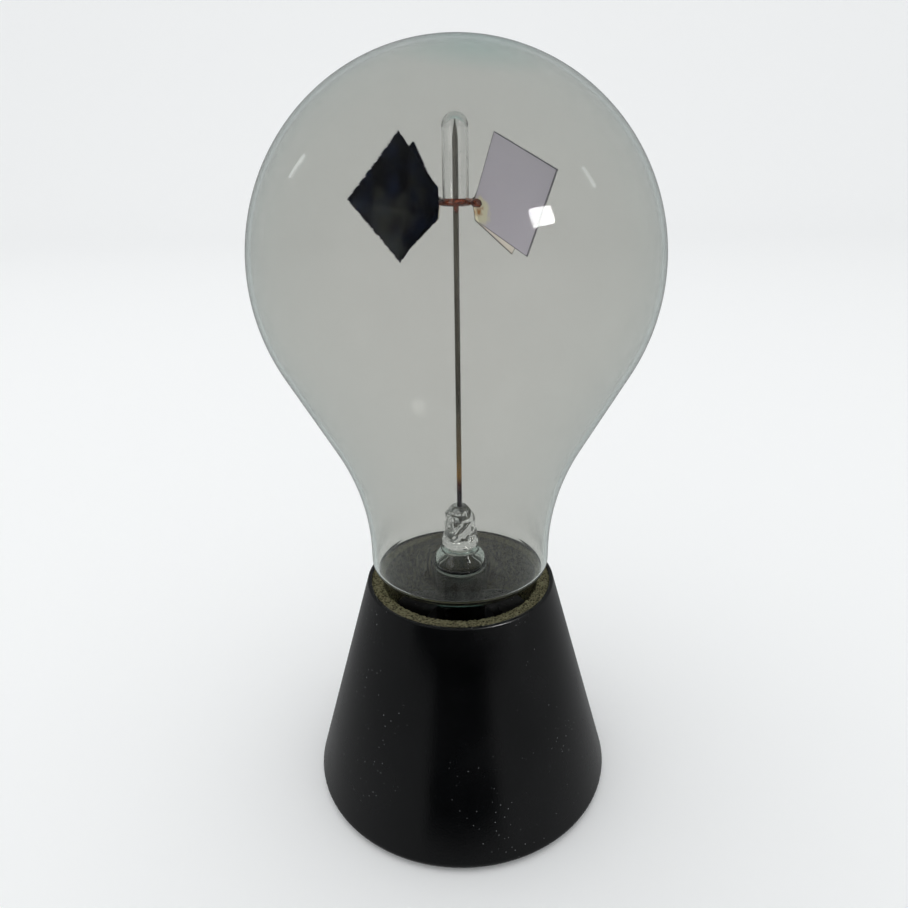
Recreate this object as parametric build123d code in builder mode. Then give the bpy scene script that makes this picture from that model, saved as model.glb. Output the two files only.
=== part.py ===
"""Crookes radiometer: four blackened mica vanes on a needle, sealed in a lamp-shaped glass bulb.

The bulb stands by its glass stem in a turned black cone. Millimetres, +Z up, origin in the
middle of the underside, and the -Y side is the front.
"""

import os
from math import cos, radians, sin, sqrt, tan

from build123d import *

# Cone base and what lies in it
base_height = 53.0
base_foot_radius = 36.0
base_rim_radius = 21.5
base_foot_round = 1.5
rim_wall = 1.0
rim_round = 0.35
recess_depth = 13.0
pad_thickness = 1.6
pad_standing = 0.6
pad_margin = 4.0
foam_thickness = 2.7
foam_below_rim = 0.3
foam_round = 0.6
foam_seam_width = 0.35
foam_seam_azimuth = 253.0
foam_seam_slant = 28.0

# Glass envelope, blown like a pear-shaped lamp bulb
bulb_radius = 40.0
bulb_wall = 0.9
neck_radius = 20.0
flank_angle = 28.0
sweep_radius = 56.0
neck_corner_radius = 2.6
neck_above_rim = 3.3
neck_straight = 5.3

# Glass stem through the bottom of the bulb
stem_radius = 5.8
stem_wall = 1.1
stem_shoulder_height = 5.2
stem_waist_radius = 4.1
stem_tail = 32.3
stem_tip_taper = 7.0
stem_tip_thickening = 1.0
stem_nipple_radius = 1.2
vent_radius = 0.8
vent_cut_margin = 1.0
bush_thickness = 2.7
bush_length = 14.0
stem_clearance = 0.1
bore_spare_depth = 2.0

# The solid pinch on the stem's waist, by its sections from the foot up: height above the waist,
# half width, half depth and turn in degrees
pinch_foot_flattening = 0.082
pinch_sections = (
    (0.0, stem_waist_radius, stem_waist_radius - pinch_foot_flattening, 0.0),
    (3.5, 3.69, 2.952, 40.0),
    (8.0, 3.444, 2.542, 80.0),
    (10.0, 2.1, 1.89, 80.0),
)

# Needle and the glass cup that turns on it
needle_radius = 0.55
needle_embedded = 7.5
needle_tip_above_centre = 26.85
needle_tip_radius = 0.08
needle_taper = 3.8
pivot_clearance = 0.05
cup_radius = 2.47
cup_wall = 0.4
cup_crown = 0.9
cup_length = 16.1
cup_lip_flare = 0.15

# Hub, arms and vanes
hub_above_lip = 0.35
ring_wire_radius = 0.3
arm_wire_radius = 0.25
ring_clearance = 0.06
cement_height = 1.5
cement_proud = 0.22
drip_length = 1.1
drip_radius = 0.55
vane_side = 15.7
vane_corner_cut = 1.9
mica_thickness = 0.2
soot_thickness = 0.1
soot_inset = 0.15
arm_overlap = 1.6
glue_line = 0.05
bead_length = 1.5
bead_radius = 0.85
bead_depth = 0.95
bead_round = 0.4
rotor_azimuth = 223.0
vane_step = 90.0

# How each vane was set by hand: its turn in degrees, the distance from the ring to its snipped
# corner, and its centre's height over the arms
vane_settings = (
    (2.0, 1.67, 1.2),
    (22.0, 2.27, 1.75),
    (10.0, 1.87, -0.3),
    (10.0, 1.87, 0.0),
)

# Heights and radii that follow from the sizes above
recess_radius = base_rim_radius - rim_wall
recess_floor = base_height - recess_depth
foam_inner_radius = recess_radius - foam_thickness
pad_radius = base_foot_radius - pad_margin
neck_bottom = base_height + neck_above_rim
neck_top = neck_bottom + neck_straight
flank_bottom_radius = neck_radius + sweep_radius * (1 - cos(radians(flank_angle)))
flank_bottom = neck_top + sweep_radius * sin(radians(flank_angle))
flank_top_radius = bulb_radius * cos(radians(flank_angle))
flank_top = flank_bottom + (flank_top_radius - flank_bottom_radius) / tan(radians(flank_angle))
bulb_centre = flank_top + bulb_radius * sin(radians(flank_angle))
stem_tip_height = neck_bottom - stem_tail
stem_waist = neck_bottom + stem_shoulder_height
pinch_top = stem_waist + pinch_sections[-1][0]
bore_radius = stem_radius + bush_thickness
bore_floor = stem_tip_height - bore_spare_depth
needle_tip_height = bulb_centre + needle_tip_above_centre
cup_inner_radius = cup_radius - cup_wall
cup_inner_top = needle_tip_height + pivot_clearance
cup_top = cup_inner_top + cup_crown
cup_lip = cup_top - cup_length
hub_height = cup_lip + hub_above_lip
ring_radius = cup_radius + ring_clearance + ring_wire_radius
vane_reach = vane_side / sqrt(2) - vane_corner_cut
vane_count = len(vane_settings)


def write_part(part, name):
    """Labels a finished piece and writes it as parts/NAME.step."""
    part.label = name
    export_step(part, f"parts/{name}.step")


def arm_plane(index):
    """The upright plane through the axis and vane `index`: X runs outwards, Y up, and its normal
    points to the bare mica side."""
    azimuth = radians(rotor_azimuth + vane_step * index)
    return Plane(
        origin=(0, 0, 0),
        x_dir=(cos(azimuth), sin(azimuth), 0),
        z_dir=(sin(azimuth), -cos(azimuth), 0),
    )


def vane_centre_radius(index):
    """How far from the axis the middle of vane `index` is."""
    return ring_radius + vane_settings[index][1] + vane_reach


def vane_edge_radius(index):
    """How far from the axis vane `index` begins at the height of its arm."""
    turn, _, rise = vane_settings[index]
    edge_middle_radius = vane_centre_radius(index) - vane_reach * cos(radians(turn))
    edge_middle_height = hub_height + rise - vane_reach * sin(radians(turn))
    return edge_middle_radius - (hub_height - edge_middle_height) * tan(radians(turn))


def bulb_section(inset):
    """Half of the bulb's section, drawn `inset` inside its outer surface, as a closed face."""
    sweep = sweep_radius + inset
    crown = bulb_radius - inset
    neck = neck_radius - inset
    bottom = neck_bottom + inset
    corner = neck_corner_radius - inset
    crown_end = (crown * cos(radians(flank_angle)), bulb_centre - crown * sin(radians(flank_angle)))
    with BuildSketch(Plane.XZ) as section:
        with BuildLine():
            CenterArc((0, bulb_centre), crown, -flank_angle, 90 + flank_angle)
            flare = CenterArc((neck_radius + sweep_radius, neck_top), sweep, 180, -flank_angle)
            Line(crown_end, flare @ 1)
            Line(flare @ 0, (neck, bottom + corner))
            CenterArc((neck - corner, bottom + corner), corner, -90, 90)
            Line((neck - corner, bottom), (0, bottom))
            Line((0, bottom), (0, bulb_centre + crown))
        make_face()
    return section.sketch


def make_base_cone():
    """Turned hardwood, lacquered black: a truncated cone with a recess for the foam collar, a
    blind bore for the stem's bush and a shallow seat for the pad."""
    foot = pad_standing
    with BuildPart() as base_cone:
        with BuildSketch(Plane.XZ):
            with BuildLine():
                Polyline(
                    (0, foot),
                    (base_foot_radius, foot),
                    (base_rim_radius, base_height),
                    (0, base_height),
                    close=True,
                )
            make_face()
        revolve(axis=Axis.Z)
        fillet(base_cone.edges().filter_by(GeomType.CIRCLE).sort_by(Axis.Z)[0], base_foot_round)
        with Locations((0, 0, base_height)):
            Hole(recess_radius, depth=recess_depth)
        rim = base_cone.faces().filter_by(GeomType.PLANE).sort_by(Axis.Z)[-1]
        fillet(rim.edges(), rim_round)
        with Locations((0, 0, recess_floor)):
            Hole(bore_radius, depth=recess_floor - bore_floor)
        with BuildSketch(Plane.XY.offset(pad_thickness)):
            Circle(pad_radius)
        extrude(amount=-pad_thickness, mode=Mode.SUBTRACT)
    return base_cone.part


def make_base_pad():
    """Felt disc let into the underside, proud of the wood so that the stand rests on it."""
    with BuildPart() as base_pad:
        with BuildSketch():
            Circle(pad_radius)
        extrude(amount=pad_thickness)
    return base_pad.part


def make_foam_collar():
    """Sponge rubber strip bent round inside the rim, with a slanting butt seam at the front."""
    with BuildPart() as foam_collar:
        with BuildSketch(Plane.XY.offset(recess_floor)):
            Circle(recess_radius)
            Circle(foam_inner_radius, mode=Mode.SUBTRACT)
        extrude(amount=recess_depth - foam_below_rim)
        top = foam_collar.faces().sort_by(Axis.Z)[-1]
        fillet(top.edges(), foam_round)
        seam_at = radians(foam_seam_azimuth)
        seam_middle = recess_radius - foam_thickness / 2
        with Locations(
            Location(
                (seam_middle * cos(seam_at), seam_middle * sin(seam_at), recess_floor),
                (0, 0, foam_seam_azimuth + foam_seam_slant),
            )
        ):
            Box(
                4 * foam_thickness,
                foam_seam_width,
                2 * recess_depth,
                mode=Mode.SUBTRACT,
            )
    return foam_collar.part


def make_stem_bush():
    """Black rubber sleeve that holds the stem upright in the bore of the base."""
    with BuildPart() as stem_bush:
        with BuildSketch(Plane.XY.offset(recess_floor - bush_length)):
            Circle(bore_radius)
            Circle(stem_radius + stem_clearance, mode=Mode.SUBTRACT)
        extrude(amount=bush_length)
    return stem_bush.part


def make_glass_bulb():
    """Thin blown envelope, open only where the stem is fused through its flat bottom."""
    with BuildPart() as glass_bulb:
        add(bulb_section(0))
        revolve(axis=Axis.Z)
        add(bulb_section(bulb_wall))
        revolve(axis=Axis.Z, mode=Mode.SUBTRACT)
        with Locations((0, 0, neck_bottom + bulb_wall)):
            Hole(stem_radius, depth=2 * bulb_wall)
    return glass_bulb.part


def stem_outline(inset, tip, top_radius, top):
    """Half of the stem's section as a closed face: a tapered lower end at height `tip`, a
    straight tube, and a shoulder that draws in to `top_radius` at height `top`."""
    radius = stem_radius - inset
    with BuildSketch(Plane.XZ) as section:
        with BuildLine():
            Polyline(
                (0, top),
                (0, tip),
                (stem_nipple_radius, tip),
                (radius, tip + stem_tip_taper),
                (radius, neck_bottom),
            )
            Spline(
                (radius, neck_bottom),
                (top_radius, top),
                tangents=((0, 1), (-0.2, 1)),
            )
            Line((top_radius, top), (0, top))
        make_face()
    return section.sketch


def make_stem_tube():
    """Glass tube that carries the bulb and was its exhaust: tipped off below and vented above."""
    with BuildPart() as stem_tube:
        add(stem_outline(0, stem_tip_height, stem_waist_radius, stem_waist))
        revolve(axis=Axis.Z)
        add(
            stem_outline(
                stem_wall,
                stem_tip_height + stem_wall + stem_tip_thickening,
                stem_waist_radius - stem_wall,
                stem_waist - stem_wall,
            )
        )
        revolve(axis=Axis.Z, mode=Mode.SUBTRACT)
        vent_height = neck_bottom + stem_shoulder_height / 2
        with Locations(Location((0, stem_radius, vent_height), (90, 0, 0))):
            Cylinder(vent_radius, 2 * (stem_wall + vent_cut_margin), mode=Mode.SUBTRACT)
    return stem_tube.part


def make_stem_pinch():
    """Solid glass above the tube, squeezed flat and twisted while soft to grip the needle."""
    with BuildPart() as stem_pinch:
        for height, half_width, half_depth, turn in pinch_sections:
            with BuildSketch(Plane.XY.offset(stem_waist + height)):
                Ellipse(half_width, half_depth, rotation=turn)
        loft()
        with Locations((0, 0, pinch_top)):
            Hole(needle_radius, depth=needle_embedded)
    return stem_pinch.part


def make_needle():
    """Steel spindle, ground to a point at its upper end."""
    with BuildPart() as needle:
        with BuildSketch(Plane.XZ):
            with BuildLine():
                Polyline(
                    (0, pinch_top - needle_embedded),
                    (needle_radius, pinch_top - needle_embedded),
                    (needle_radius, needle_tip_height - needle_taper),
                    (needle_tip_radius, needle_tip_height),
                    (0, needle_tip_height),
                    close=True,
                )
            make_face()
        revolve(axis=Axis.Z)
    return needle.part


def make_pivot_cup():
    """Glass thimble that hangs over the needle and rests on its point."""
    dome_centre = cup_top - cup_radius
    inner_dome_centre = cup_inner_top - cup_inner_radius
    with BuildPart() as pivot_cup:
        with BuildSketch(Plane.XZ):
            with BuildLine():
                CenterArc((0, dome_centre), cup_radius, 0, 90)
                Polyline(
                    (cup_radius, dome_centre),
                    (cup_radius, cup_lip),
                    (cup_inner_radius + cup_lip_flare, cup_lip),
                    (cup_inner_radius, cup_lip + 2 * cup_lip_flare),
                    (cup_inner_radius, inner_dome_centre),
                )
                CenterArc((0, inner_dome_centre), cup_inner_radius, 0, 90)
                Line((0, cup_inner_top), (0, cup_top))
            make_face()
        revolve(axis=Axis.Z)
    return pivot_cup.part


def make_hub_ring():
    """Copper wire ring that clasps the cup just above its lip."""
    with BuildPart() as hub_ring:
        with BuildSketch(Plane.XZ):
            with Locations((ring_radius, hub_height)):
                Circle(ring_wire_radius)
        revolve(axis=Axis.Z)
    return hub_ring.part


def arm_wire(index):
    """Straight wire from the middle of the ring onto the bare side of a vane."""
    reach = vane_edge_radius(index) + arm_overlap
    side_offset = mica_thickness + glue_line + arm_wire_radius
    start = Plane(
        origin=arm_plane(index).from_local_coords((ring_radius, hub_height, side_offset)),
        z_dir=arm_plane(index).x_dir,
    )
    with BuildPart() as wire:
        with BuildSketch(start):
            Circle(arm_wire_radius)
        extrude(amount=reach - ring_radius)
    return wire.part


def make_arm(index, hub_ring):
    """The arm's wire, scooped at its inner end where it is soldered to the ring."""
    with BuildPart() as arm:
        add(arm_wire(index))
        add(hub_ring, mode=Mode.SUBTRACT)
    return arm.part


def vane_outline(index, inset):
    """A square cut on its corner, turned as it was set, with the inner corner snipped off, as a
    face to be laid on its arm plane."""
    turn, _, rise = vane_settings[index]
    side = vane_side - 2 * inset
    corner_reach = vane_side / sqrt(2)
    centre_radius = vane_centre_radius(index)
    centre_height = hub_height + rise
    corner = (
        centre_radius - corner_reach * cos(radians(turn)),
        centre_height - corner_reach * sin(radians(turn)),
    )
    with BuildSketch() as outline:
        with Locations((centre_radius, centre_height)):
            Rectangle(side, side, rotation=45 + turn)
        with Locations(corner):
            Rectangle(
                2 * (vane_corner_cut + inset),
                vane_side,
                rotation=turn,
                mode=Mode.SUBTRACT,
            )
    return outline.sketch


def make_vane(index):
    """Mica leaf, bare on the side that its arm is stuck to."""
    with BuildPart() as vane:
        with BuildSketch(arm_plane(index)):
            add(vane_outline(index, 0))
        extrude(amount=mica_thickness)
    return vane.part


def make_lampblack(index):
    """Coat of lampblack on the other side of the leaf, just short of its edges."""
    with BuildPart() as lampblack:
        with BuildSketch(arm_plane(index)):
            add(vane_outline(index, soot_inset))
        extrude(amount=-soot_thickness)
    return lampblack.part


def make_vane_cement(index):
    """Bead of shellac over the end of the arm, lying on the mica."""
    plane = arm_plane(index)
    middle = vane_edge_radius(index) + arm_overlap / 2
    on_mica = Plane(
        origin=plane.from_local_coords((middle, hub_height, mica_thickness)),
        x_dir=plane.x_dir,
        z_dir=plane.z_dir,
    )
    with BuildPart() as bead:
        with BuildSketch(on_mica):
            SlotOverall(2 * bead_length, 2 * bead_radius)
        extrude(amount=bead_depth)
        top = bead.faces().sort_by(Axis(on_mica.origin, on_mica.z_dir))[-1]
        fillet(top.edges(), bead_round)
        add(arm_wire(index), mode=Mode.SUBTRACT)
    return bead.part


def make_hub_cement(hub_ring):
    """Band of red-brown shellac run round the ring and the roots of the arms, with one drip."""
    outer = ring_radius + ring_wire_radius + cement_proud
    inner = ring_radius - ring_wire_radius - cement_proud
    drip_foot = hub_height - cement_height / 2 - drip_length
    with BuildPart() as hub_cement:
        with BuildSketch(Plane.XZ):
            with Locations(((inner + outer) / 2, hub_height)):
                RectangleRounded(outer - inner, cement_height, (outer - inner) / 3)
        revolve(axis=Axis.Z)
        with Locations((0, -ring_radius, drip_foot + drip_radius)):
            Sphere(drip_radius)
            Cylinder(
                drip_radius,
                drip_length,
                align=(Align.CENTER, Align.CENTER, Align.MIN),
            )
        with BuildSketch(Plane.XY.offset(drip_foot)):
            Circle(cup_radius)
        extrude(amount=drip_length + 2 * cement_height, mode=Mode.SUBTRACT)
        add(hub_ring, mode=Mode.SUBTRACT)
        for index in range(vane_count):
            add(arm_wire(index), mode=Mode.SUBTRACT)
    return hub_cement.part


os.makedirs("parts", exist_ok=True)

write_part(make_base_cone(), "base_cone")
write_part(make_base_pad(), "base_pad")
write_part(make_foam_collar(), "foam_collar")
write_part(make_stem_bush(), "stem_bush")
write_part(make_glass_bulb(), "glass_bulb")
write_part(make_stem_tube(), "stem_tube")
write_part(make_stem_pinch(), "stem_pinch")
write_part(make_needle(), "needle")
write_part(make_pivot_cup(), "pivot_cup")

ring = make_hub_ring()
write_part(ring, "hub_ring")
write_part(make_hub_cement(ring), "hub_cement")
for index in range(vane_count):
    number = index + 1
    write_part(make_arm(index, ring), f"vane_arm_{number}")
    write_part(make_vane(index), f"vane_{number}")
    write_part(make_lampblack(index), f"lampblack_{number}")
    write_part(make_vane_cement(index), f"vane_cement_{number}")
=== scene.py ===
from math import cos, pi, radians, sin, tau

import bmesh
import bpy
from mathutils import Matrix, Vector, noise


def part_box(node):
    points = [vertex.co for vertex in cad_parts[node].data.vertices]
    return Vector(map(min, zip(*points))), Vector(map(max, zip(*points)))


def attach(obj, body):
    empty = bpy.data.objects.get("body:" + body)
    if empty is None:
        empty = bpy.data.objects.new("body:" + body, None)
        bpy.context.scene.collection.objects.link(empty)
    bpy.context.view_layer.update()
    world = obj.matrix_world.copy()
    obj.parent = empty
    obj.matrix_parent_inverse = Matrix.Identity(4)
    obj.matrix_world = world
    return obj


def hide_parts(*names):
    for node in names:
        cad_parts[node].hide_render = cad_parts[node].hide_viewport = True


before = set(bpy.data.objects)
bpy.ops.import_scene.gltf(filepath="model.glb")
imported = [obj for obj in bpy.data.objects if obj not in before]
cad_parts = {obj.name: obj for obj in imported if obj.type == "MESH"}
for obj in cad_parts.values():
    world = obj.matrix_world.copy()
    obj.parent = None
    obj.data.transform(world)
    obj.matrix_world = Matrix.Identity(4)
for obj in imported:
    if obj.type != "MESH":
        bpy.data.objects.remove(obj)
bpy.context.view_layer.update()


# Camera: held close to the bulb, level with the upper half of its vanes, looking down at the base.
camera_distance = 0.14781
camera_height = 0.14442
camera_tilt = 22.477
camera_roll = -0.722
camera_data = bpy.data.cameras.new("camera")
camera_data.sensor_width = 36
camera_data.lens = 29.19
camera_data.shift_x = -0.0054
camera_data.clip_start = 0.01
camera = bpy.data.objects.new("camera", camera_data)
bpy.context.scene.collection.objects.link(camera)
camera.matrix_world = (
    Matrix.Translation((0, -camera_distance, camera_height))
    @ Matrix.Rotation(radians(90 - camera_tilt), 4, "X")
    @ Matrix.Rotation(radians(camera_roll), 4, "Z")
)
bpy.context.scene.camera = camera
bpy.context.scene.view_settings.view_transform = "Standard"


# Studio: a pale paper sweep under and behind the instrument, lit by an even sky and one broad panel
# from above. A second panel lights what is inside the glass. What glass and lacquer mirror is a
# dimmer room: a softbox, two small windows and a black flag in front of the base.
def link_mesh(name, shape):
    """Makes an object of a finished bmesh, with smooth faces."""
    mesh = bpy.data.meshes.new(name)
    shape.to_mesh(mesh)
    shape.free()
    mesh.shade_smooth()
    piece = bpy.data.objects.new(name, mesh)
    bpy.context.scene.collection.objects.link(piece)
    return piece


def srgb(code, alpha=1):
    """Linear colour of an sRGB hex code."""
    channels = [int(code[at:at + 2], 16) / 255 for at in (1, 3, 5)]
    return [c / 12.92 if c <= 0.04045 else ((c + 0.055) / 1.055) ** 2.4 for c in channels] + [alpha]


def add_node(material, kind, inputs=None, **settings):
    """Adds a shader node to a material or the world: `settings` are its properties, and `inputs`
    gives each socket a value or the output that feeds it."""
    node = material.node_tree.nodes.new(kind)
    for name, value in settings.items():
        setattr(node, name, value)
    for socket, value in (inputs or {}).items():
        if isinstance(value, bpy.types.NodeSocket):
            material.node_tree.links.new(value, node.inputs[socket])
        else:
            node.inputs[socket].default_value = value
    return node


def new_material(name, colour, roughness, **sockets):
    """A material with one Principled shader. Socket names are given with _ for a space."""
    material = bpy.data.materials.new(name)
    material.use_nodes = True
    shader = material.node_tree.nodes["Principled BSDF"]
    shader.inputs["Base Color"].default_value = srgb(colour)
    shader.inputs["Roughness"].default_value = roughness
    for socket, value in sockets.items():
        shader.inputs[socket.replace("_", " ")].default_value = value
    return material, shader


def soft_light(name, place, aim, width, height, power, **seen_by):
    """A rectangular area light at `place` that faces `aim`. Glossy, transmission and diffuse rays
    see it only where `seen_by` says so."""
    data = bpy.data.lights.new(name, "AREA")
    data.shape = "RECTANGLE"
    data.size = width
    data.size_y = height
    data.energy = power
    light = bpy.data.objects.new(name, data)
    for ray in ("glossy", "transmission", "diffuse"):
        setattr(light, f"visible_{ray}", seen_by.get(ray, False))
    bpy.context.scene.collection.objects.link(light)
    facing = (Vector(aim) - Vector(place)).to_track_quat("-Z", "Y")
    light.matrix_world = Matrix.Translation(place) @ facing.to_matrix().to_4x4()


mirrored_sky_share = 0.3
world = bpy.data.worlds.new("sky")
world.use_nodes = True
background = world.node_tree.nodes["Background"]
background.inputs["Color"].default_value = srgb("#f4f6f7")
light_path = add_node(world, "ShaderNodeLightPath")
mirror_ray = add_node(world, "ShaderNodeMath", {
    0: light_path.outputs["Is Glossy Ray"], 1: light_path.outputs["Is Reflection Ray"],
}, operation="MULTIPLY")
strength = add_node(world, "ShaderNodeMapRange", {
    "Value": mirror_ray.outputs["Value"], "To Min": 1.0, "To Max": mirrored_sky_share,
})
world.node_tree.links.new(strength.outputs["Result"], background.inputs["Strength"])
bpy.context.scene.world = world

sweep_end = -3
sweep_start = 1.2
sweep_bend = 0.8
sweep_height = 3
bend_steps = 12
sweep_shape = bmesh.new()
sweep_line = [sweep_shape.verts.new((sweep_end, y, 0)) for y in (sweep_end, sweep_start)]
for step in range(1, bend_steps + 1):
    turn = radians(90) * step / bend_steps
    place = (sweep_end, sweep_start + sweep_bend * sin(turn), sweep_bend - sweep_bend * cos(turn))
    sweep_line.append(sweep_shape.verts.new(place))
sweep_line.append(sweep_shape.verts.new((sweep_end, sweep_start + sweep_bend, sweep_height)))
sweep_edges = [sweep_shape.edges.new(pair) for pair in zip(sweep_line, sweep_line[1:])]
paper = bmesh.ops.extrude_edge_only(sweep_shape, edges=sweep_edges)
across = [part for part in paper["geom"] if isinstance(part, bmesh.types.BMVert)]
bmesh.ops.translate(sweep_shape, verts=across, vec=(-2 * sweep_end, 0, 0))
bmesh.ops.recalc_face_normals(sweep_shape, faces=sweep_shape.faces)
floor = link_mesh("paper_sweep", sweep_shape)
floor.data.materials.append(new_material("white_paper", "#f7f7f7", 0.9, Specular_IOR_Level=0.1)[0])
floor.visible_glossy = False

bulb_middle = (0, 0, 0.123)
for name, place, width, height, power in (
    ("softbox", (0.416, -0.40, 0.414), 0.136, 0.092, 4.4),
    ("left_window", (-0.673, 0.265, 0.512), 0.03, 0.12, 0.03),
    ("right_window", (0.693, -0.04, 0.574), 0.03, 0.12, 0.05),
):
    soft_light(name, place, bulb_middle, width, height, power, glossy=True, transmission=True)
soft_light("overhead_panel", (-0.3, 0.1, 1.3), bulb_middle, 1.4, 1.4, 2.5, diffuse=True)
soft_light("vane_panel", (-0.9, -0.85, 0.5), bulb_middle, 0.8, 0.8, 4.2, transmission=True)

flag_place = -0.088
flag_side = [(-0.10, 0.072), (-0.10, 0.044), (-0.036, 0.034), (-0.036, -0.02)]
flag_outline = flag_side + [(-x, z) for x, z in reversed(flag_side)]
flag_shape = bmesh.new()
flag_shape.faces.new([flag_shape.verts.new((x, flag_place, z)) for x, z in flag_outline])
flag = link_mesh("black_flag", flag_shape)
flag.data.materials.append(new_material("black_velvet", "#010101", 1, Specular_IOR_Level=0)[0])
for ray in ("camera", "diffuse", "transmission", "shadow"):
    setattr(flag, f"visible_{ray}", False)


# Base: a truncated cone turned from hardwood and sprayed with black lacquer, rubbed to a satin.
# A thin lip is left round its mouth. Dust lies on it in patches.
def arc(centre_radius, centre_height, radius, start, end, steps):
    """Points (radius, height) of an arc in a section, from one angle in degrees to the other."""
    turns = [radians(start + (end - start) * step / steps) for step in range(steps + 1)]
    return [(centre_radius + radius * cos(t), centre_height + radius * sin(t)) for t in turns]


def turned_shape(outline, steps=128):
    """A bmesh of a closed skin, made by spinning a section's outline (radius, height) about Z."""
    shape = bmesh.new()
    line = [shape.verts.new((radius, 0, height)) for radius, height in outline]
    edges = [shape.edges.new(pair) for pair in zip(line, line[1:])]
    bmesh.ops.spin(
        shape, geom=line + edges, cent=(0, 0, 0), axis=(0, 0, 1), angle=tau, steps=steps, use_merge=True
    )
    bmesh.ops.remove_doubles(shape, verts=shape.verts, dist=1e-6)
    bmesh.ops.recalc_face_normals(shape, faces=shape.faces)
    return shape


def add_shape(shape, other, hollow=False):
    """Adds a second closed skin to a bmesh. A hollow's faces are turned to face into the hollow."""
    if hollow:
        bmesh.ops.reverse_faces(other, faces=other.faces)
    mesh = bpy.data.meshes.new("joined")
    other.to_mesh(mesh)
    other.free()
    shape.from_mesh(mesh)
    bpy.data.meshes.remove(mesh)


def edge_loop(outline):
    """The outline with its first point added at its end, for a section that misses the axis."""
    return outline + outline[:1]


cone_low, cone_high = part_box("base_cone")
pad_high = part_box("base_pad")[1]
collar_low, collar_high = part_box("foam_collar")
bush_low, bush_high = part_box("stem_bush")
foot_radius = cone_high.x
rim_radius = 0.0215
lip_inner_radius = collar_high.x
recess_floor = collar_low.z
bore_floor = bush_low.z - 0.004
cone_slope = 15
foot_edge = 0.0015
rim_edge = 0.0004
lip_edge = 0.0003
cone_outline = (
    [(0, pad_high.z), (pad_high.x, pad_high.z), (pad_high.x, cone_low.z)]
    + arc(foot_radius - foot_edge, cone_low.z + foot_edge, foot_edge, -90, cone_slope, 8)
    + arc(rim_radius - rim_edge, cone_high.z - rim_edge, rim_edge, cone_slope, 90, 6)
    + arc(lip_inner_radius + lip_edge, cone_high.z - lip_edge, lip_edge, 90, 180, 6)
    + [(lip_inner_radius, recess_floor), (bush_high.x, recess_floor)]
    + [(bush_high.x, bore_floor), (0, bore_floor)]
)
base = link_mesh("turned_base", turned_shape(cone_outline, 160))

# Satin lacquer sprayed on wood: near black, with soft broad reflections and a faint orange peel.
# The specks of dust are 0.2 mm across, about 1.3 mm apart, in patches of 10 mm or so.
lacquer, lacquer_shader = new_material(
    "satin_black_lacquer", "#050607", 0.26, Specular_IOR_Level=0.36
)
place = add_node(lacquer, "ShaderNodeTexCoord").outputs["Object"]
clouds = add_node(lacquer, "ShaderNodeTexNoise", {"Vector": place, "Scale": 60, "Detail": 4})
tone = add_node(lacquer, "ShaderNodeValToRGB", {"Fac": clouds.outputs["Fac"]})
tone.color_ramp.elements[0].position = 0.35
tone.color_ramp.elements[0].color = srgb("#030405")
tone.color_ramp.elements[1].position = 0.7
tone.color_ramp.elements[1].color = srgb("#08090b")
dust_field = add_node(
    lacquer, "ShaderNodeTexVoronoi", {"Vector": place, "Scale": 760, "Randomness": 1}, feature="F1"
)
dust = add_node(lacquer, "ShaderNodeMapRange", {
    "Value": dust_field.outputs["Distance"], "From Min": 0.06, "From Max": 0.12, "To Min": 1, "To Max": 0,
})
patches = add_node(lacquer, "ShaderNodeTexNoise", {"Vector": place, "Scale": 75, "Detail": 3})
dusty = add_node(lacquer, "ShaderNodeMapRange", {
    "Value": patches.outputs["Fac"], "From Min": 0.5, "From Max": 0.66, "To Min": 0, "To Max": 0.8,
})
speck = add_node(lacquer, "ShaderNodeMath", {
    0: dust.outputs["Result"], 1: dusty.outputs["Result"],
}, operation="MULTIPLY")
finish = add_node(lacquer, "ShaderNodeMix", {
    "Factor": speck.outputs["Value"], 6: tone.outputs["Color"], 7: srgb("#7d7f80"),
}, data_type="RGBA")
rubbed = add_node(lacquer, "ShaderNodeMapRange", {
    "Value": clouds.outputs["Fac"], "From Min": 0.3, "From Max": 0.7, "To Min": 0.2, "To Max": 0.3,
})
orange_peel = add_node(lacquer, "ShaderNodeTexNoise", {"Vector": place, "Scale": 2600, "Detail": 2})
dimples = add_node(lacquer, "ShaderNodeBump", {
    "Height": orange_peel.outputs["Fac"], "Strength": 0.12, "Distance": 0.0002,
})
lacquer.node_tree.links.new(finish.outputs[2], lacquer_shader.inputs["Base Color"])
lacquer.node_tree.links.new(rubbed.outputs["Result"], lacquer_shader.inputs["Roughness"])
lacquer.node_tree.links.new(dimples.outputs["Normal"], lacquer_shader.inputs["Normal"])
base.data.materials.append(lacquer)
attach(base, "base")
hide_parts("base_cone")


# Pad: a disc of pressed black wool felt glued into the underside. The felt is dead matte, with a
# paler fuzz of fibres about half a millimetre long.
pad_edge = 0.0002
pad_outline = (
    [(0, 0)]
    + arc(pad_high.x - pad_edge, pad_edge, pad_edge, -90, 0, 4)
    + [(pad_high.x, pad_high.z), (0, pad_high.z)]
)
pad = link_mesh("felt_pad", turned_shape(pad_outline, 96))
felt, felt_shader = new_material(
    "pressed_wool_felt", "#17171a", 0.95, Sheen_Weight=0.4, Sheen_Roughness=0.6
)
place = add_node(felt, "ShaderNodeTexCoord").outputs["Object"]
fibres = add_node(felt, "ShaderNodeTexNoise", {
    "Vector": place, "Scale": 1800, "Detail": 6, "Distortion": 1.5,
})
fibre_tone = add_node(felt, "ShaderNodeValToRGB", {"Fac": fibres.outputs["Fac"]})
fibre_tone.color_ramp.elements[0].color = srgb("#0c0c0e")
fibre_tone.color_ramp.elements[1].color = srgb("#2c2c30")
fuzz = add_node(felt, "ShaderNodeBump", {
    "Height": fibres.outputs["Fac"], "Strength": 0.6, "Distance": 0.0002,
})
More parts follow.
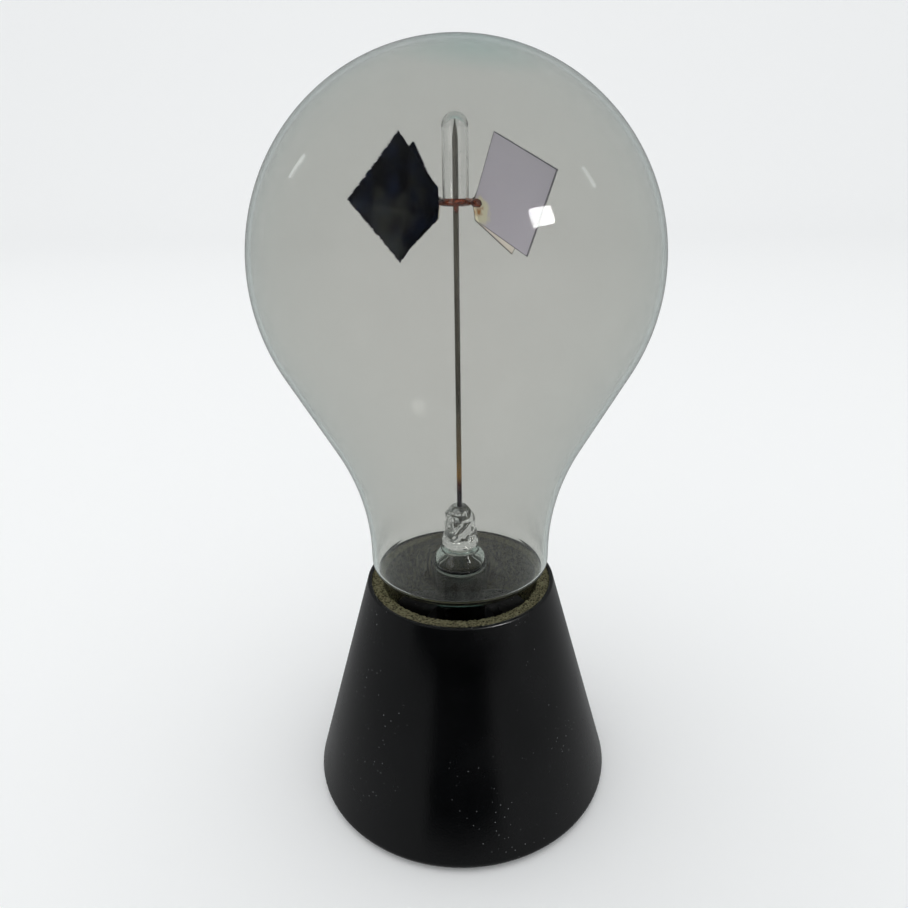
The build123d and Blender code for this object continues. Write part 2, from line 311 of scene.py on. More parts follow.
felt.node_tree.links.new(fibre_tone.outputs["Color"], felt_shader.inputs["Base Color"])
felt.node_tree.links.new(fuzz.outputs["Normal"], felt_shader.inputs["Normal"])
pad.data.materials.append(felt)
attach(pad, "base")
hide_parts("base_pad")


# Collar: a strip of coarse open-cell sponge rubber, olive drab, bent round inside the lip. Its
# cells are cut open on every face, so the surface is all pores and torn walls.
collar_thickness = 0.0027
cell_size = 0.00062
pore_depth = 0.00042
bore_pore_share = 0.8
collar_inner_radius = lip_inner_radius - collar_thickness
collar_turns = 620
across_count = 18
down_count = 44
top_line = [
    (collar_inner_radius + collar_thickness * step / across_count, collar_high.z)
    for step in range(across_count, 0, -1)
]
inner_line = [
    (collar_inner_radius, collar_high.z + (collar_low.z - collar_high.z) * step / down_count)
    for step in range(down_count + 1)
]
collar_outline = edge_loop(top_line + inner_line + [(lip_inner_radius, collar_low.z)])
collar_shape = turned_shape(collar_outline, collar_turns)
# Each vertex keeps its pore depth, which later paints the pore darker: a painted shade in the hollows.
pore_shade = collar_shape.verts.layers.float.new("pore_shade")
for vert in collar_shape.verts:
    nearest = noise.voronoi(vert.co / cell_size, distance_metric="DISTANCE", exponent=2.5)[0]
    wall = min(1, max(0, (nearest[1] - nearest[0]) / 0.55))
    ragged = 0.5 + 0.5 * noise.noise(vert.co / cell_size * 2.7)
    depth = wall * (0.45 + 0.55 * ragged)
    vert[pore_shade] = depth
    outwards = Vector((vert.co.x, vert.co.y, 0)).normalized()
    if vert.co.z > collar_high.z - 1e-5:
        vert.co.z -= pore_depth * depth
    radius = vert.co.xy.length
    if radius < lip_inner_radius - 1e-5:
        near_bore = 1 - (radius - collar_inner_radius) / collar_thickness
        vert.co += outwards * pore_depth * depth * bore_pore_share * near_bore
collar = link_mesh("sponge_collar", collar_shape)
sponge, sponge_shader = new_material("coarse_sponge_rubber", "#6a6347", 0.9, Specular_IOR_Level=0.2)
pore_shade_value = add_node(sponge, "ShaderNodeAttribute", attribute_name="pore_shade")
grain = add_node(sponge, "ShaderNodeTexNoise", {
    "Vector": add_node(sponge, "ShaderNodeTexCoord").outputs["Object"], "Scale": 2200, "Detail": 3,
})
# Random grain tone plus painted shade: the deeper the pore, the darker its colour.
grain_and_pore_shade = add_node(sponge, "ShaderNodeMath", {
    0: grain.outputs["Fac"], 1: 0.5, 2: pore_shade_value.outputs["Fac"],
}, operation="MULTIPLY_ADD")
sponge_tone_and_pore_shade = add_node(sponge, "ShaderNodeValToRGB", {"Fac": grain_and_pore_shade.outputs["Value"]})
sponge_tone_and_pore_shade.color_ramp.elements[0].position = 0.3
sponge_tone_and_pore_shade.color_ramp.elements[0].color = srgb("#7f7a5c")
sponge_tone_and_pore_shade.color_ramp.elements[1].position = 1.0
sponge_tone_and_pore_shade.color_ramp.elements[1].color = srgb("#17160e")
middle_tone = sponge_tone_and_pore_shade.color_ramp.elements.new(0.6)
middle_tone.color = srgb("#474430")
sponge.node_tree.links.new(sponge_tone_and_pore_shade.outputs["Color"], sponge_shader.inputs["Base Color"])
collar.data.materials.append(sponge)
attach(collar, "base")
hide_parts("foam_collar")


# Bush: a moulded sleeve of matte black rubber, pressed into the bore of the base.
stem_radius = 0.0058
bush_clearance = 0.0001
bush_bore = stem_radius + bush_clearance
bush_edge = 0.0003
bush_outline = edge_loop(
    [(bush_bore, bush_low.z), (bush_high.x, bush_low.z)]
    + arc(bush_high.x - bush_edge, bush_high.z - bush_edge, bush_edge, 0, 90, 4)
    + arc(bush_bore + bush_edge, bush_high.z - bush_edge, bush_edge, 90, 180, 4)
)
bush = link_mesh("rubber_bush", turned_shape(bush_outline, 96))
rubber, rubber_shader = new_material("matte_black_rubber", "#121213", 0.75, Specular_IOR_Level=0.3)
place = add_node(rubber, "ShaderNodeTexCoord").outputs["Object"]
bloom = add_node(rubber, "ShaderNodeTexNoise", {"Vector": place, "Scale": 300, "Detail": 4})
bloom_tone = add_node(rubber, "ShaderNodeValToRGB", {"Fac": bloom.outputs["Fac"]})
bloom_tone.color_ramp.elements[0].color = srgb("#0c0c0d")
bloom_tone.color_ramp.elements[1].color = srgb("#1d1d1f")
rubber.node_tree.links.new(bloom_tone.outputs["Color"], rubber_shader.inputs["Base Color"])
bush.data.materials.append(rubber)
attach(bush, "base")
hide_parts("stem_bush")


# Envelope: a pear-shaped bulb of soda-lime glass, mould-blown like a lamp's, with the stem tube
# fused through its flat bottom, so that the two are one piece of glass. The blown glass is faintly
# grey and teal in its thickness from iron. Its crown is painted a stronger teal, a painted reflection,
# and a grey specular tint dims what it mirrors, a painted shade for a darker room. The stem,
# worked in the flame, mirrors fully.
bulb_low, bulb_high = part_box("glass_bulb")
stem_low, stem_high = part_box("stem_tube")
bulb_radius = 0.040
neck_radius = 0.020
sweep_radius = 0.056
flank_angle = 28
corner_radius = 0.0026
bulb_wall = 0.0009
neck_top = bulb_low.z + 0.0053
bulb_centre = bulb_high.z - bulb_radius
weld_radius = 0.0004
stem_wall = 0.0011
stem_crown = 0.0016
waist_radius = 0.0041
tip_round = 0.002
tip_start = stem_low.z + 0.008
tip_bend = stem_low.z + 0.007


def bulb_line(inset):
    """Half of the bulb's section, `inset` inside its outer skin, from the crown to the bottom."""
    corner = corner_radius - inset
    crown = arc(0, bulb_centre, bulb_radius - inset, 90, -flank_angle, 60)
    flare = arc(neck_radius + sweep_radius, neck_top, sweep_radius + inset, 180 - flank_angle, 180, 16)
    bottom = arc(neck_radius - inset - corner, bulb_low.z + inset + corner, corner, 0, -90, 10)
    return crown + flare + bottom


def shoulder_line(inset, start, end):
    """The stem's shoulder, `inset` inside its skin, drawn in from the tube to the waist."""
    steps = 12
    points = []
    for step in range(steps + 1):
        share = step / steps
        ease = share * share * (3 - 2 * share)
        points.append((
            stem_radius - inset + (waist_radius - stem_radius) * ease,
            start + (end - start) * share,
        ))
    return points


outer_skin = (
    bulb_line(0)
    + arc(stem_radius + weld_radius, bulb_low.z - weld_radius, weld_radius, 90, 180, 6)
    + [(stem_radius, tip_start)]
    + arc(stem_radius - tip_round, tip_bend, tip_round, 0, -40, 4)
    + [(0.0018, stem_low.z + 0.0018), (0.0011, stem_low.z + 0.0004), (0, stem_low.z)]
)
inner_bottom = bulb_low.z + bulb_wall
inner_skin = (
    bulb_line(bulb_wall)
    + arc(stem_radius + weld_radius, inner_bottom + weld_radius, weld_radius, 270, 180, 4)
    + shoulder_line(0, inner_bottom + 0.0008, stem_high.z)
    + [(0, stem_high.z)]
)
tube_hollow = (
    [(0, stem_high.z - stem_crown)]
    + list(reversed(shoulder_line(stem_wall, inner_bottom, stem_high.z - stem_crown)))
    + [(stem_radius - stem_wall, stem_low.z + 0.009), (0, stem_low.z + 0.003)]
)
glass_shape = turned_shape(outer_skin, 192)
add_shape(glass_shape, turned_shape(inner_skin, 192), hollow=True)
add_shape(glass_shape, turned_shape(tube_hollow, 96), hollow=True)
# The crown attribute marks where the glass is painted more teal, a painted reflection on the bulb's top.
crown_axis = Vector((0.1, 0, 1))
crown_inner_angle = radians(4)
crown_outer_angle = radians(23)
flamed = glass_shape.verts.layers.float.new("flame_worked")
crown = glass_shape.verts.layers.float.new("crown")
for vert in glass_shape.verts:
    off_crown = (vert.co - Vector((0, 0, bulb_centre))).angle(crown_axis, pi)
    share = (crown_outer_angle - off_crown) / (crown_outer_angle - crown_inner_angle)
    vert[crown] = min(1, max(0, share))
    near_axis = vert.co.xy.length < stem_radius + weld_radius
    vert[flamed] = 1 if near_axis and vert.co.z < stem_high.z + 0.001 else 0
envelope = link_mesh("glass_envelope", glass_shape)
bulb_glass, bulb_glass_shader = new_material(
    "blown_soda_lime_glass", "#dfdbd8", 0.0, Transmission_Weight=1.0, IOR=1.5
)
flame_worked = add_node(bulb_glass, "ShaderNodeAttribute", attribute_name="flame_worked")
# A grey specular tint dims the blown glass's reflections, a painted shade for a darker room; the
# flame-worked stem mirrors fully.
painted_reflection_dimming = add_node(bulb_glass, "ShaderNodeMix", {
    "Factor": flame_worked.outputs["Fac"], 6: srgb("#616161"), 7: srgb("#ffffff"),
}, data_type="RGBA")
bulb_glass.node_tree.links.new(painted_reflection_dimming.outputs[2], bulb_glass_shader.inputs["Specular Tint"])
# Base colour turns teal towards the crown: a painted reflection.
crown_painted_reflection = add_node(bulb_glass, "ShaderNodeAttribute", attribute_name="crown")
glass_tone_and_crown_reflection = add_node(bulb_glass, "ShaderNodeMix", {
    "Factor": crown_painted_reflection.outputs["Fac"], 6: srgb("#dfdbd8"), 7: srgb("#bacfcb"),
}, data_type="RGBA")
bulb_glass.node_tree.links.new(glass_tone_and_crown_reflection.outputs[2], bulb_glass_shader.inputs["Base Color"])
bulb_glass_output = bulb_glass.node_tree.nodes["Material Output"]
iron_tint = add_node(bulb_glass, "ShaderNodeVolumeAbsorption", {
    "Color": srgb("#00cbc1"), "Density": 72,
})
bulb_glass.node_tree.links.new(iron_tint.outputs["Volume"], bulb_glass_output.inputs["Volume"])
envelope.data.materials.append(bulb_glass)
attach(envelope, "bulb")
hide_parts("glass_bulb", "stem_tube")


# Pinch: the top of the stem, squeezed and twisted while soft round the foot of the needle. The
# twist leaves ribs on it and a crushed hollow inside its left half.
pinch_low, pinch_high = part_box("stem_pinch")
needle_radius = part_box("needle")[1].x
pinch_gap = 0.00004
pinch_twist = 2.6
hollow_size = (0.00125, 0.0010, 0.0020)
hollow_place = Vector((-0.0017, -0.0006, pinch_low.z + 0.0050))
pinch_profile = (
    (0.0, 0.0), (0.0036, 0.0), (0.0040, 0.0004), (0.0038, 0.0010), (0.0035, 0.0020), (0.0036, 0.0035),
    (0.0037, 0.0050), (0.0036, 0.0065), (0.0032, 0.0078), (0.0025, 0.0088), (0.0021, 0.0094),
    (0.0017, 0.0099), (0.0011, 0.0100), (0.0, 0.0098),
)
pinch_shape = turned_shape([(r, pinch_low.z + pinch_gap + z) for r, z in pinch_profile], 96)
bmesh.ops.subdivide_edges(
    pinch_shape,
    edges=[e for e in pinch_shape.edges if abs(e.verts[0].co.z - e.verts[1].co.z) > 0.0002],
    cuts=3,
    use_grid_fill=True,
)
for vert in pinch_shape.verts:
    height = (vert.co.z - pinch_low.z) / (pinch_high.z - pinch_low.z)
    turn = Vector((1, 0)).angle_signed(vert.co.xy, 0) if vert.co.xy.length > 1e-5 else 0
    swirl = -turn - pinch_twist * height
    lobes = 0.12 * cos(2 * swirl) + 0.045 * cos(7 * swirl) + 0.02 * cos(13 * swirl + 9 * height)
    lump = 0.10 * noise.noise(vert.co * 700)
    fade = min(1, max(0, height * 6)) * min(1, max(0, (1.02 - height) * 8))
    swell = 1 + (lobes + lump) * fade
    vert.co.x *= swell
    vert.co.y *= swell
hollow_shape = bmesh.new()
bmesh.ops.create_icosphere(hollow_shape, subdivisions=5, radius=1)
for vert in hollow_shape.verts:
    crushed = 1 + 0.22 * noise.noise(vert.co * 2.3) + 0.10 * noise.noise(vert.co * 7)
    vert.co = Vector([size * along for size, along in zip(hollow_size, vert.co)]) * crushed
    vert.co += hollow_place
add_shape(pinch_shape, hollow_shape, hollow=True)
pinch = link_mesh("twisted_pinch", pinch_shape)
stem_glass = new_material("flame_worked_glass", "#eef0ef", 0.0, Transmission_Weight=1.0, IOR=1.52)[0]
pinch.data.materials.append(stem_glass)
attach(pinch, "bulb")
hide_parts("stem_pinch")


# Needle: drawn steel wire ground to a point. The flame that sealed it in coloured its foot gold
# and purple-grey.
needle_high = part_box("needle")[1]
needle_foot = pinch_high.z - 0.0007
needle_point_radius = 0.00008
needle_outline = [
    (0, needle_foot), (needle_radius, needle_foot), (needle_radius, pinch_high.z + 0.006),
    (needle_radius, needle_high.z - 0.0038), (needle_radius * 0.72, needle_high.z - 0.0022),
    (needle_radius * 0.34, needle_high.z - 0.0008), (needle_point_radius, needle_high.z),
    (0, needle_high.z),
]
needle = link_mesh("steel_needle", turned_shape(needle_outline, 48))
steel, steel_shader = new_material("drawn_steel", "#5b5a5c", 0.38, Metallic=1.0)
place = add_node(steel, "ShaderNodeTexCoord").outputs["Object"]
height_of = add_node(steel, "ShaderNodeSeparateXYZ", {"Vector": place})
tint_share = add_node(steel, "ShaderNodeMapRange", {
    "Value": height_of.outputs["Z"], "From Min": pinch_high.z, "From Max": pinch_high.z + 0.030,
})
heat_tint = add_node(steel, "ShaderNodeValToRGB", {"Fac": tint_share.outputs["Result"]})
heat_tint.color_ramp.elements[0].color = srgb("#6c6570")
heat_tint.color_ramp.elements[1].position = 0.75
heat_tint.color_ramp.elements[1].color = srgb("#625f59")
for share, code in ((0.12, "#5d4f55"), (0.17, "#5b3a30"), (0.24, "#9a7440"), (0.38, "#7d6a4f")):
    heat_tint.color_ramp.elements.new(share).color = srgb(code)
drawing_lines = add_node(steel, "ShaderNodeMapping", {"Vector": place, "Scale": (6000, 6000, 60)})
scratches = add_node(steel, "ShaderNodeTexNoise", {
    "Vector": drawing_lines.outputs["Vector"], "Scale": 1, "Detail": 3,
})
scratch_roughness = add_node(steel, "ShaderNodeMapRange", {
    "Value": scratches.outputs["Fac"], "To Min": 0.25, "To Max": 0.55,
})
steel.node_tree.links.new(heat_tint.outputs["Color"], steel_shader.inputs["Base Color"])
steel.node_tree.links.new(scratch_roughness.outputs["Result"], steel_shader.inputs["Roughness"])
needle.data.materials.append(steel)
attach(needle, "bulb")
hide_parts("needle")


# Cup: a thimble of thin glass tube, closed in the flame, that rests on the needle's point. It is
# clear, and a little grey along its edges, where there is more glass to look through.
cup_low, cup_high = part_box("pivot_cup")
cup_radius = 0.00247
cup_wall = 0.0004
cup_crown = 0.0009
cup_inner_radius = cup_radius - cup_wall
cup_outline = (
    arc(0, cup_high.z - cup_radius, cup_radius, 90, 0, 20)
    + arc(cup_radius - cup_wall / 2, cup_low.z + cup_wall / 2, cup_wall / 2, 0, -180, 8)
    + arc(0, cup_high.z - cup_crown - cup_inner_radius, cup_inner_radius, 0, 90, 20)
)
cup = link_mesh("glass_cup", turned_shape(cup_outline, 96))
cup_glass = new_material("thin_tube_glass", "#ffffff", 0.0, Transmission_Weight=1.0, IOR=1.5)[0]
edge_grey = add_node(cup_glass, "ShaderNodeVolumeAbsorption", {
    "Color": srgb("#004538"), "Density": 110,
})
cup_glass.node_tree.links.new(
    edge_grey.outputs["Volume"], cup_glass.node_tree.nodes["Material Output"].inputs["Volume"]
)
cup.data.materials.append(cup_glass)
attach(cup, "rotor")
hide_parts("pivot_cup")


# Hub wires: a ring of copper wire round the cup and four straight arms soldered to it, all
# browned by age.
copper, copper_shader = new_material("oxidised_copper", "#7a3a24", 0.4, Metallic=0.9)
place = add_node(copper, "ShaderNodeTexCoord").outputs["Object"]
tarnish = add_node(copper, "ShaderNodeTexNoise", {"Vector": place, "Scale": 900, "Detail": 3})
tarnish_tone = add_node(copper, "ShaderNodeValToRGB", {"Fac": tarnish.outputs["Fac"]})
tarnish_tone.color_ramp.elements[0].position = 0.35
tarnish_tone.color_ramp.elements[0].color = srgb("#3b1a12")
tarnish_tone.color_ramp.elements[1].position = 0.7
tarnish_tone.color_ramp.elements[1].color = srgb("#8f4a2c")
copper.node_tree.links.new(tarnish_tone.outputs["Color"], copper_shader.inputs["Base Color"])
for node_name in ["hub_ring"] + [f"vane_arm_{number}" for number in (1, 2, 3, 4)]:
    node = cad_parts[node_name]
    node.data.materials.clear()
    node.data.materials.append(copper)


# Hub shellac: a lumpy red-brown band brushed over the ring and the roots of the arms to hold them
# to the cup, with one drip hanging from its front. Set shellac is hard, glossy and see-through.
cement_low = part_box("hub_cement")[0]
ring_low, ring_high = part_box("hub_ring")
hub_height = (ring_low.z + ring_high.z) / 2
band_width = 0.00086
band_height = 0.00072
glass_gap = 0.00002
mica_thickness = 0.0002
arm_stand_off = 0.0003
arm_offset = mica_thickness + arm_stand_off
root_reach = cup_radius + 0.0012
root_length = 0.0013
root_radius = 0.00062
root_end_radius = 0.00034
drip_radius = 0.0005
drip_middle = (0.0001, -cup_radius - 0.00047, cement_low.z + 0.00078)
skin_voxel = 0.00007
lump_height = 0.00007
rotor_azimuth = 223
vane_count = 4


def arm_matrix(index):
    """Frame of the upright plane of arm `index`: X outwards, Y up, Z towards the vane's bare side."""
    azimuth = radians(rotor_azimuth + 90 * index)
    frame_of_arm = Matrix((
        (cos(azimuth), 0, sin(azimuth)),
        (sin(azimuth), 0, -cos(azimuth)),
        (0, 1, 0),
    ))
    return frame_of_arm.to_4x4()


def voxel_skin(piece, voxel):
    """Replaces a piece's overlapping skins by one skin round them all."""
    remesh = piece.modifiers.new("skin", "REMESH")
    remesh.mode = "VOXEL"
    remesh.voxel_size = voxel
    joined = bpy.data.meshes.new_from_object(piece.evaluated_get(bpy.context.evaluated_depsgraph_get()))
    piece.modifiers.clear()
    piece.data = joined
    joined.shade_smooth()


band_line = [
    (cup_radius + glass_gap + band_width * cos(radians(a)), hub_height + band_height * sin(radians(a)))
    for a in range(-90, 91, 12)
]
hub_shape = turned_shape(edge_loop(band_line), 120)
drip = bmesh.new()
bmesh.ops.create_uvsphere(drip, u_segments=24, v_segments=16, radius=drip_radius)
bmesh.ops.scale(drip, verts=drip.verts, vec=(1.0, 0.9, 1.5))
bmesh.ops.translate(drip, verts=drip.verts, vec=drip_middle)
add_shape(hub_shape, drip)
for index in range(vane_count):
    root = bmesh.new()
    bmesh.ops.create_cone(
        root, cap_ends=True, segments=20,
        radius1=root_radius, radius2=root_end_radius, depth=root_length,
    )
    bmesh.ops.transform(root, matrix=Matrix.Rotation(pi / 2, 4, "Y"), verts=root.verts)
    bmesh.ops.translate(root, verts=root.verts, vec=(root_reach, hub_height, arm_offset))
    bmesh.ops.transform(root, matrix=arm_matrix(index), verts=root.verts)
    add_shape(hub_shape, root)
hub = link_mesh("shellac_hub", hub_shape)
voxel_skin(hub, skin_voxel)
for vert in hub.data.vertices:
    outwards = Vector((vert.co.x, vert.co.y, 0))
    clear = min(1, max(0, (outwards.length - cup_radius - glass_gap) / 0.0003))
    vert.co += outwards.normalized() * lump_height * noise.noise(vert.co * 900) * clear
shellac, shellac_shader = new_material(
    "red_brown_shellac", "#7c2c16", 0.12, Transmission_Weight=0.45, IOR=1.52, Coat_Weight=0.5
)
place = add_node(shellac, "ShaderNodeTexCoord").outputs["Object"]
pooling = add_node(shellac, "ShaderNodeTexNoise", {"Vector": place, "Scale": 800, "Detail": 3})
shellac_tone = add_node(shellac, "ShaderNodeValToRGB", {"Fac": pooling.outputs["Fac"]})
shellac_tone.color_ramp.elements[0].position = 0.35
shellac_tone.color_ramp.elements[0].color = srgb("#4a120a")
shellac_tone.color_ramp.elements[1].position = 0.68
shellac_tone.color_ramp.elements[1].color = srgb("#b05028")
shellac.node_tree.links.new(shellac_tone.outputs["Color"], shellac_shader.inputs["Base Color"])
hub.data.materials.append(shellac)
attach(hub, "rotor")
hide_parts("hub_cement")


# Vanes: four leaves of cleaved mica, cut square with shears and hung on one corner, the inner
# corner snipped off. The leaf is silvery on its bare side; each was cut and set by hand.
vane_side = 0.0157
vane_corner_cut = 0.0019
vane_reach = vane_side / 2 ** 0.5 - vane_corner_cut
ring_gap = 0.00006
ring_radius = (ring_high.x + cup_radius + ring_gap) / 2

# How each leaf was set: its turn in degrees, its gap from the ring, its rise, how deep its edge is
# bitten, and how amber its mica is.
vane_settings = (
    {"turn": 2, "gap": 0.00167, "rise": 0.0012, "ragged": 0.0006, "amber": 0},
    {"turn": 22, "gap": 0.00227, "rise": 0.00175, "ragged": 0.00002, "amber": 0},
    {"turn": 10, "gap": 0.00187, "rise": -0.0003, "ragged": 0.00008, "amber": 0.6},
    {"turn": 10, "gap": 0.00187, "rise": 0, "ragged": 0.0004, "amber": 0.2},
)


def leaf_shape(index, low, high):
    """A leaf of vane `index` between two levels of its arm's frame, with a UV map along its sides."""
    vane = vane_settings[index]
    shape = bmesh.new()
    bmesh.ops.create_grid(shape, x_segments=72, y_segments=72, size=vane_side / 2)
    for vert in shape.verts:
        if vert.is_boundary:
            spot = vert.co * 2900 + Vector((31 * index, 0, 0))
            bite = noise.noise(spot) + 0.8 * noise.noise(spot * 2.3)
            vert.co -= vert.co.normalized() * vane["ragged"] * max(0, bite)
    turning = Matrix.Rotation(radians(45 + vane["turn"]), 4, "Z")
    bmesh.ops.transform(shape, matrix=turning, verts=shape.verts)
    inwards = Vector((-cos(radians(vane["turn"])), -sin(radians(vane["turn"])), 0))
    bmesh.ops.bisect_plane(
        shape, geom=shape.verts[:] + shape.edges[:] + shape.faces[:], dist=1e-7,
        plane_co=inwards * vane_reach, plane_no=inwards, clear_outer=True,
    )
    thick = bmesh.ops.extrude_face_region(shape, geom=shape.faces[:])
    lifted = [part for part in thick["geom"] if isinstance(part, bmesh.types.BMVert)]
    bmesh.ops.translate(shape, verts=lifted, vec=(0, 0, high - low))
    bmesh.ops.recalc_face_normals(shape, faces=shape.faces)
    amber = shape.verts.layers.float.new("amber")
    for vert in shape.verts:
        vert[amber] = vane["amber"]
    along = shape.loops.layers.uv.new("UVMap")
    back = turning.inverted()
    for face in shape.faces:
        for loop in face.loops:
            square = back @ loop.vert.co
            loop[along].uv = (square.x / vane_side + 0.5, square.y / vane_side + 0.5)
    centre = Vector((ring_radius + vane["gap"] + vane_reach, hub_height + vane["rise"], low))
    bmesh.ops.translate(shape, verts=shape.verts, vec=centre)
    bmesh.ops.transform(shape, matrix=arm_matrix(index), verts=shape.verts)
    return shape


mica, mica_shader = new_material("silvered_mica", "#aaa4ae", 0.42, Specular_IOR_Level=0.4)
square_map = add_node(mica, "ShaderNodeTexCoord").outputs["UV"]
object_map = add_node(mica, "ShaderNodeTexCoord").outputs["Object"]
from_middle = add_node(mica, "ShaderNodeVectorMath", {
    0: square_map, 1: (0.5, 0.5, 0),
}, operation="SUBTRACT")
outward = add_node(mica, "ShaderNodeVectorMath", {0: from_middle.outputs["Vector"]}, operation="ABSOLUTE")
axes = add_node(mica, "ShaderNodeSeparateXYZ", {"Vector": outward.outputs["Vector"]})
to_edge = add_node(mica, "ShaderNodeMath", {
    0: axes.outputs["X"], 1: axes.outputs["Y"],
}, operation="MAXIMUM")
edge_line = add_node(mica, "ShaderNodeMapRange", {
    "Value": to_edge.outputs["Value"], "From Min": 0.488, "From Max": 0.495, "To Min": 0, "To Max": 0.75,
})
wobble = add_node(mica, "ShaderNodeTexNoise", {"Vector": object_map, "Scale": 1100, "Detail": 4})
stain_reach = add_node(mica, "ShaderNodeVectorMath", {
    0: square_map, 1: (0.12, 0.87, 0),
}, operation="DISTANCE")
stain_field = add_node(mica, "ShaderNodeMath", {
    0: wobble.outputs["Fac"], 1: 0.16, 2: stain_reach.outputs["Value"],
}, operation="MULTIPLY_ADD")
stain = add_node(mica, "ShaderNodeMapRange", {
    "Value": stain_field.outputs["Value"], "From Min": 0.21, "From Max": 0.27, "To Min": 1, "To Max": 0,
})
stain_tone = add_node(mica, "ShaderNodeValToRGB", {"Fac": stain_field.outputs["Value"]})
stain_tone.color_ramp.elements[0].position = 0.09
stain_tone.color_ramp.elements[0].color = srgb("#c07a38")
stain_tone.color_ramp.elements[1].position = 0.15
stain_tone.color_ramp.elements[1].color = srgb("#fffade")
clouding = add_node(mica, "ShaderNodeTexNoise", {"Vector": object_map, "Scale": 120, "Detail": 3})
silver = add_node(mica, "ShaderNodeValToRGB", {"Fac": clouding.outputs["Fac"]})
silver.color_ramp.elements[0].color = srgb("#e4deec")
silver.color_ramp.elements[1].color = srgb("#ece6f5")
own_amber = add_node(mica, "ShaderNodeAttribute", attribute_name="amber")
leaf_tone = add_node(mica, "ShaderNodeMix", {
    "Factor": own_amber.outputs["Fac"], 6: silver.outputs["Color"], 7: srgb("#e2d8bd"),
}, data_type="RGBA")
stained = add_node(mica, "ShaderNodeMix", {
    "Factor": stain.outputs["Result"], 6: leaf_tone.outputs[2], 7: stain_tone.outputs["Color"],
}, data_type="RGBA")
outlined = add_node(mica, "ShaderNodeMix", {
    "Factor": edge_line.outputs["Result"], 6: stained.outputs[2], 7: srgb("#1c1718"),
}, data_type="RGBA")
mica.node_tree.links.new(outlined.outputs[2], mica_shader.inputs["Base Color"])
for index in range(vane_count):
    leaf = link_mesh(f"mica_leaf_{index + 1}", leaf_shape(index, 0, mica_thickness))
    leaf.data.shade_flat()
    leaf.data.materials.append(mica)
    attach(leaf, "rotor")
    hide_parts(f"vane_{index + 1}")


# Lampblack: soot from a smoky flame, dead matte and blue-black, on the other side of each leaf.
# Its bluish blotches are partly a painted sheen, and the faint grey smudges round a spot low on
# each leaf are a painted reflection.
soot_thickness = 0.0001
soot, soot_shader = new_material("lampblack", "#0d1117", 0.9, Specular_IOR_Level=0)
object_map = add_node(soot, "ShaderNodeTexCoord").outputs["Object"]
flakes = add_node(soot, "ShaderNodeTexNoise", {"Vector": object_map, "Scale": 260, "Detail": 6})
# Ramp from black to a bluish tone over random blotches: partly the soot's own tone, partly a painted
# sheen.
soot_tone_and_sheen = add_node(soot, "ShaderNodeValToRGB", {"Fac": flakes.outputs["Fac"]})
soot_tone_and_sheen.color_ramp.elements[0].position = 0.4
soot_tone_and_sheen.color_ramp.elements[0].color = srgb("#010204")
soot_tone_and_sheen.color_ramp.elements[1].position = 0.72
soot_tone_and_sheen.color_ramp.elements[1].color = srgb("#10182a")
# Grey patches round a spot low on the leaf: a painted reflection.
reflection_noise = add_node(soot, "ShaderNodeTexNoise", {"Vector": object_map, "Scale": 210, "Detail": 3})
square_map = add_node(soot, "ShaderNodeTexCoord").outputs["UV"]
from_reflection_spot = add_node(soot, "ShaderNodeVectorMath", {
    0: square_map, 1: (0.33, 0.2, 0),
}, operation="DISTANCE")
reflection_reach = add_node(soot, "ShaderNodeMapRange", {
    "Value": from_reflection_spot.outputs["Value"], "From Min": 0.1, "From Max": 0.45, "To Min": 0.26, "To Max": 0,
})
reflection_field = add_node(soot, "ShaderNodeMath", {0: reflection_noise.outputs["Fac"], 1: reflection_reach.outputs["Result"]})
reflection_mask = add_node(soot, "ShaderNodeMapRange", {
    "Value": reflection_field.outputs["Value"], "From Min": 0.56, "From Max": 0.86, "To Min": 0, "To Max": 0.8,
})
soot_with_painted_reflection = add_node(soot, "ShaderNodeMix", {
    "Factor": reflection_mask.outputs["Result"], 6: soot_tone_and_sheen.outputs["Color"], 7: srgb("#3a3b38"),
}, data_type="RGBA")
soot_bump = add_node(soot, "ShaderNodeBump", {
    "Height": flakes.outputs["Fac"], "Strength": 0.5, "Distance": 0.0002,
})
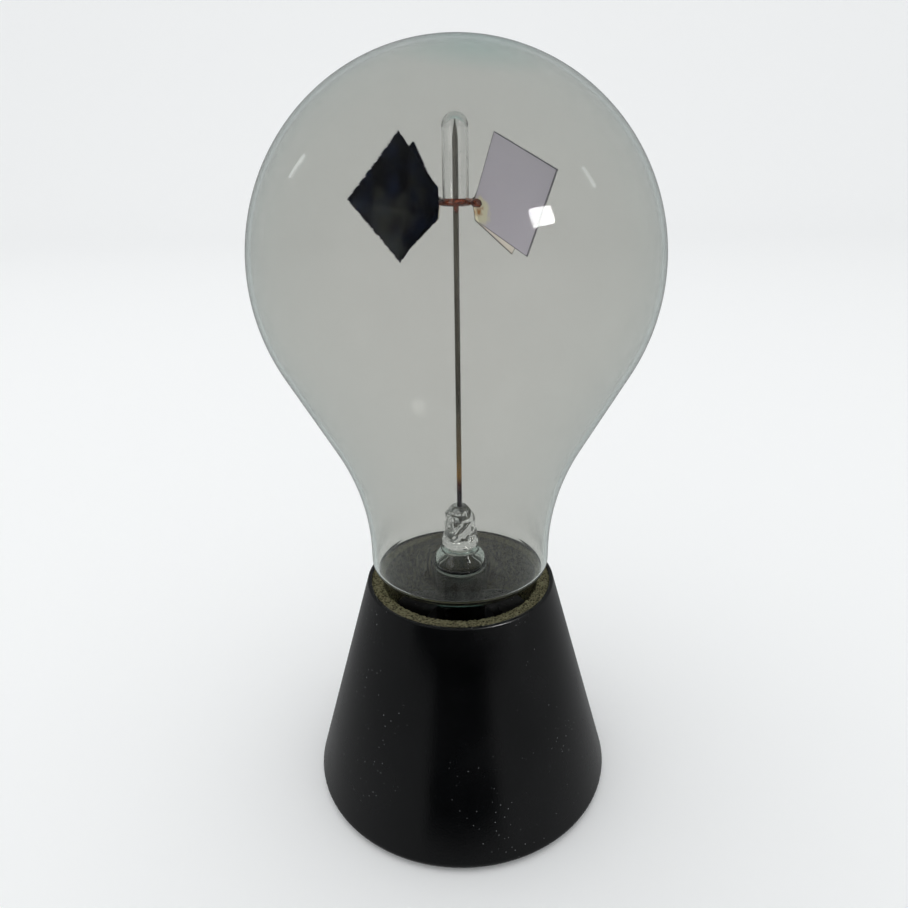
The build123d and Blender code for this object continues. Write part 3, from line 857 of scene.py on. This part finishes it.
soot.node_tree.links.new(soot_with_painted_reflection.outputs[2], soot_shader.inputs["Base Color"])
soot.node_tree.links.new(soot_bump.outputs["Normal"], soot_shader.inputs["Normal"])
for index in range(vane_count):
    coat = link_mesh(f"lampblack_coat_{index + 1}", leaf_shape(index, -soot_thickness, 0))
    coat.data.shade_flat()
    coat.data.materials.append(soot)
    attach(coat, "rotor")
    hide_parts(f"lampblack_{index + 1}")


# Beads: a drop of shellac over the end of each arm, which glues it to the bare side of the leaf.
bead_length = 0.0015
bead_radius = 0.00085
bead_height = 0.00095
bead_shrink = 0.92
bead_foot = mica_thickness + glass_gap
for index in range(vane_count):
    bead_low, bead_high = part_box(f"vane_cement_{index + 1}")
    bead_middle = (bead_low + bead_high) / 2
    bead_reach = Vector((bead_middle.x, bead_middle.y)).dot(arm_matrix(index).to_3x3().col[0].xy)
    bead_shape = bmesh.new()
    bmesh.ops.create_icosphere(bead_shape, subdivisions=4, radius=1)
    for vert in bead_shape.verts:
        lumpy = 1 + 0.12 * noise.noise(vert.co * 2.1 + Vector((7 * index, 0, 0)))
        stretched = Vector((bead_length * vert.co.x, bead_radius * vert.co.y, bead_height * vert.co.z))
        vert.co = stretched * bead_shrink * lumpy
    cut = bmesh.ops.bisect_plane(
        bead_shape, geom=bead_shape.verts[:] + bead_shape.edges[:] + bead_shape.faces[:], dist=1e-8,
        plane_co=(0, 0, 0), plane_no=(0, 0, -1), clear_outer=True,
    )
    rim = [part for part in cut["geom_cut"] if isinstance(part, bmesh.types.BMEdge)]
    bmesh.ops.edgeloop_fill(bead_shape, edges=rim)
    bmesh.ops.recalc_face_normals(bead_shape, faces=bead_shape.faces)
    bmesh.ops.translate(bead_shape, verts=bead_shape.verts, vec=(bead_reach, hub_height, bead_foot))
    bmesh.ops.transform(bead_shape, matrix=arm_matrix(index), verts=bead_shape.verts)
    bead = link_mesh(f"shellac_bead_{index + 1}", bead_shape)
    bead.data.materials.append(shellac)
    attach(bead, "rotor")
    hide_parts(f"vane_cement_{index + 1}")
